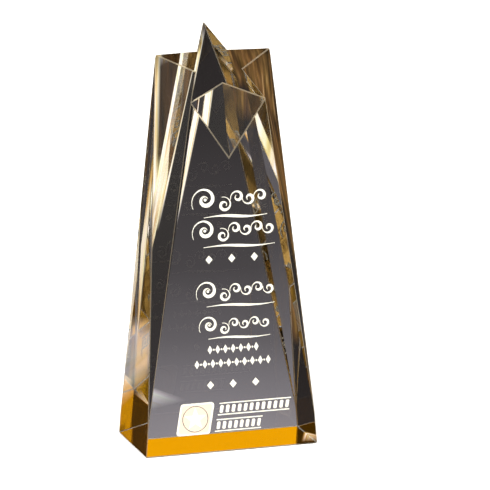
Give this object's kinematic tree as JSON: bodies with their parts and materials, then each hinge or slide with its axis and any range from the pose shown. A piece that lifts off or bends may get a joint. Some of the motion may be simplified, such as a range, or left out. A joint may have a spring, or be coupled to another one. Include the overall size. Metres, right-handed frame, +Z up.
{
  "type": "star pillar award",
  "caption": "Free-standing tapered pillar of clear acrylic with a slanted star-shaped top, V grooves, an enamel-filled engraved front and a gold mirror base.",
  "frame": {"origin": "middle of the rest face under the backing coat", "axes": "+X to the award's right as a reader faces it, +Y towards its back, +Z up; the engraved panel faces -Y"},
  "size_m": [0.086, 0.049, 0.2026],
  "materials": {
    "clear_acrylic": "polished",
    "gold_mirror": "mirror",
    "backing_coat": "matte",
    "cream_enamel": "satin",
    "peach_enamel": "satin"
  },
  "bodies": {
    "root": {"backing_coat": "backing_coat", "caption_beads_lower": "cream_enamel", "caption_beads_upper": "cream_enamel", "diamonds_lower": "cream_enamel", "diamonds_upper": "cream_enamel", "emblem_frame": "cream_enamel", "emblem_ground": "peach_enamel", "emblem_star": "cream_enamel", "gold_mirror_film": "gold_mirror", "name_scroll_lower": "cream_enamel", "name_scroll_upper": "cream_enamel", "reeds_lower": "cream_enamel", "reeds_upper": "cream_enamel", "star_pillar": "clear_acrylic", "title_scroll_lower": "cream_enamel", "title_scroll_upper": "cream_enamel"}
  },
  "joints": []
}
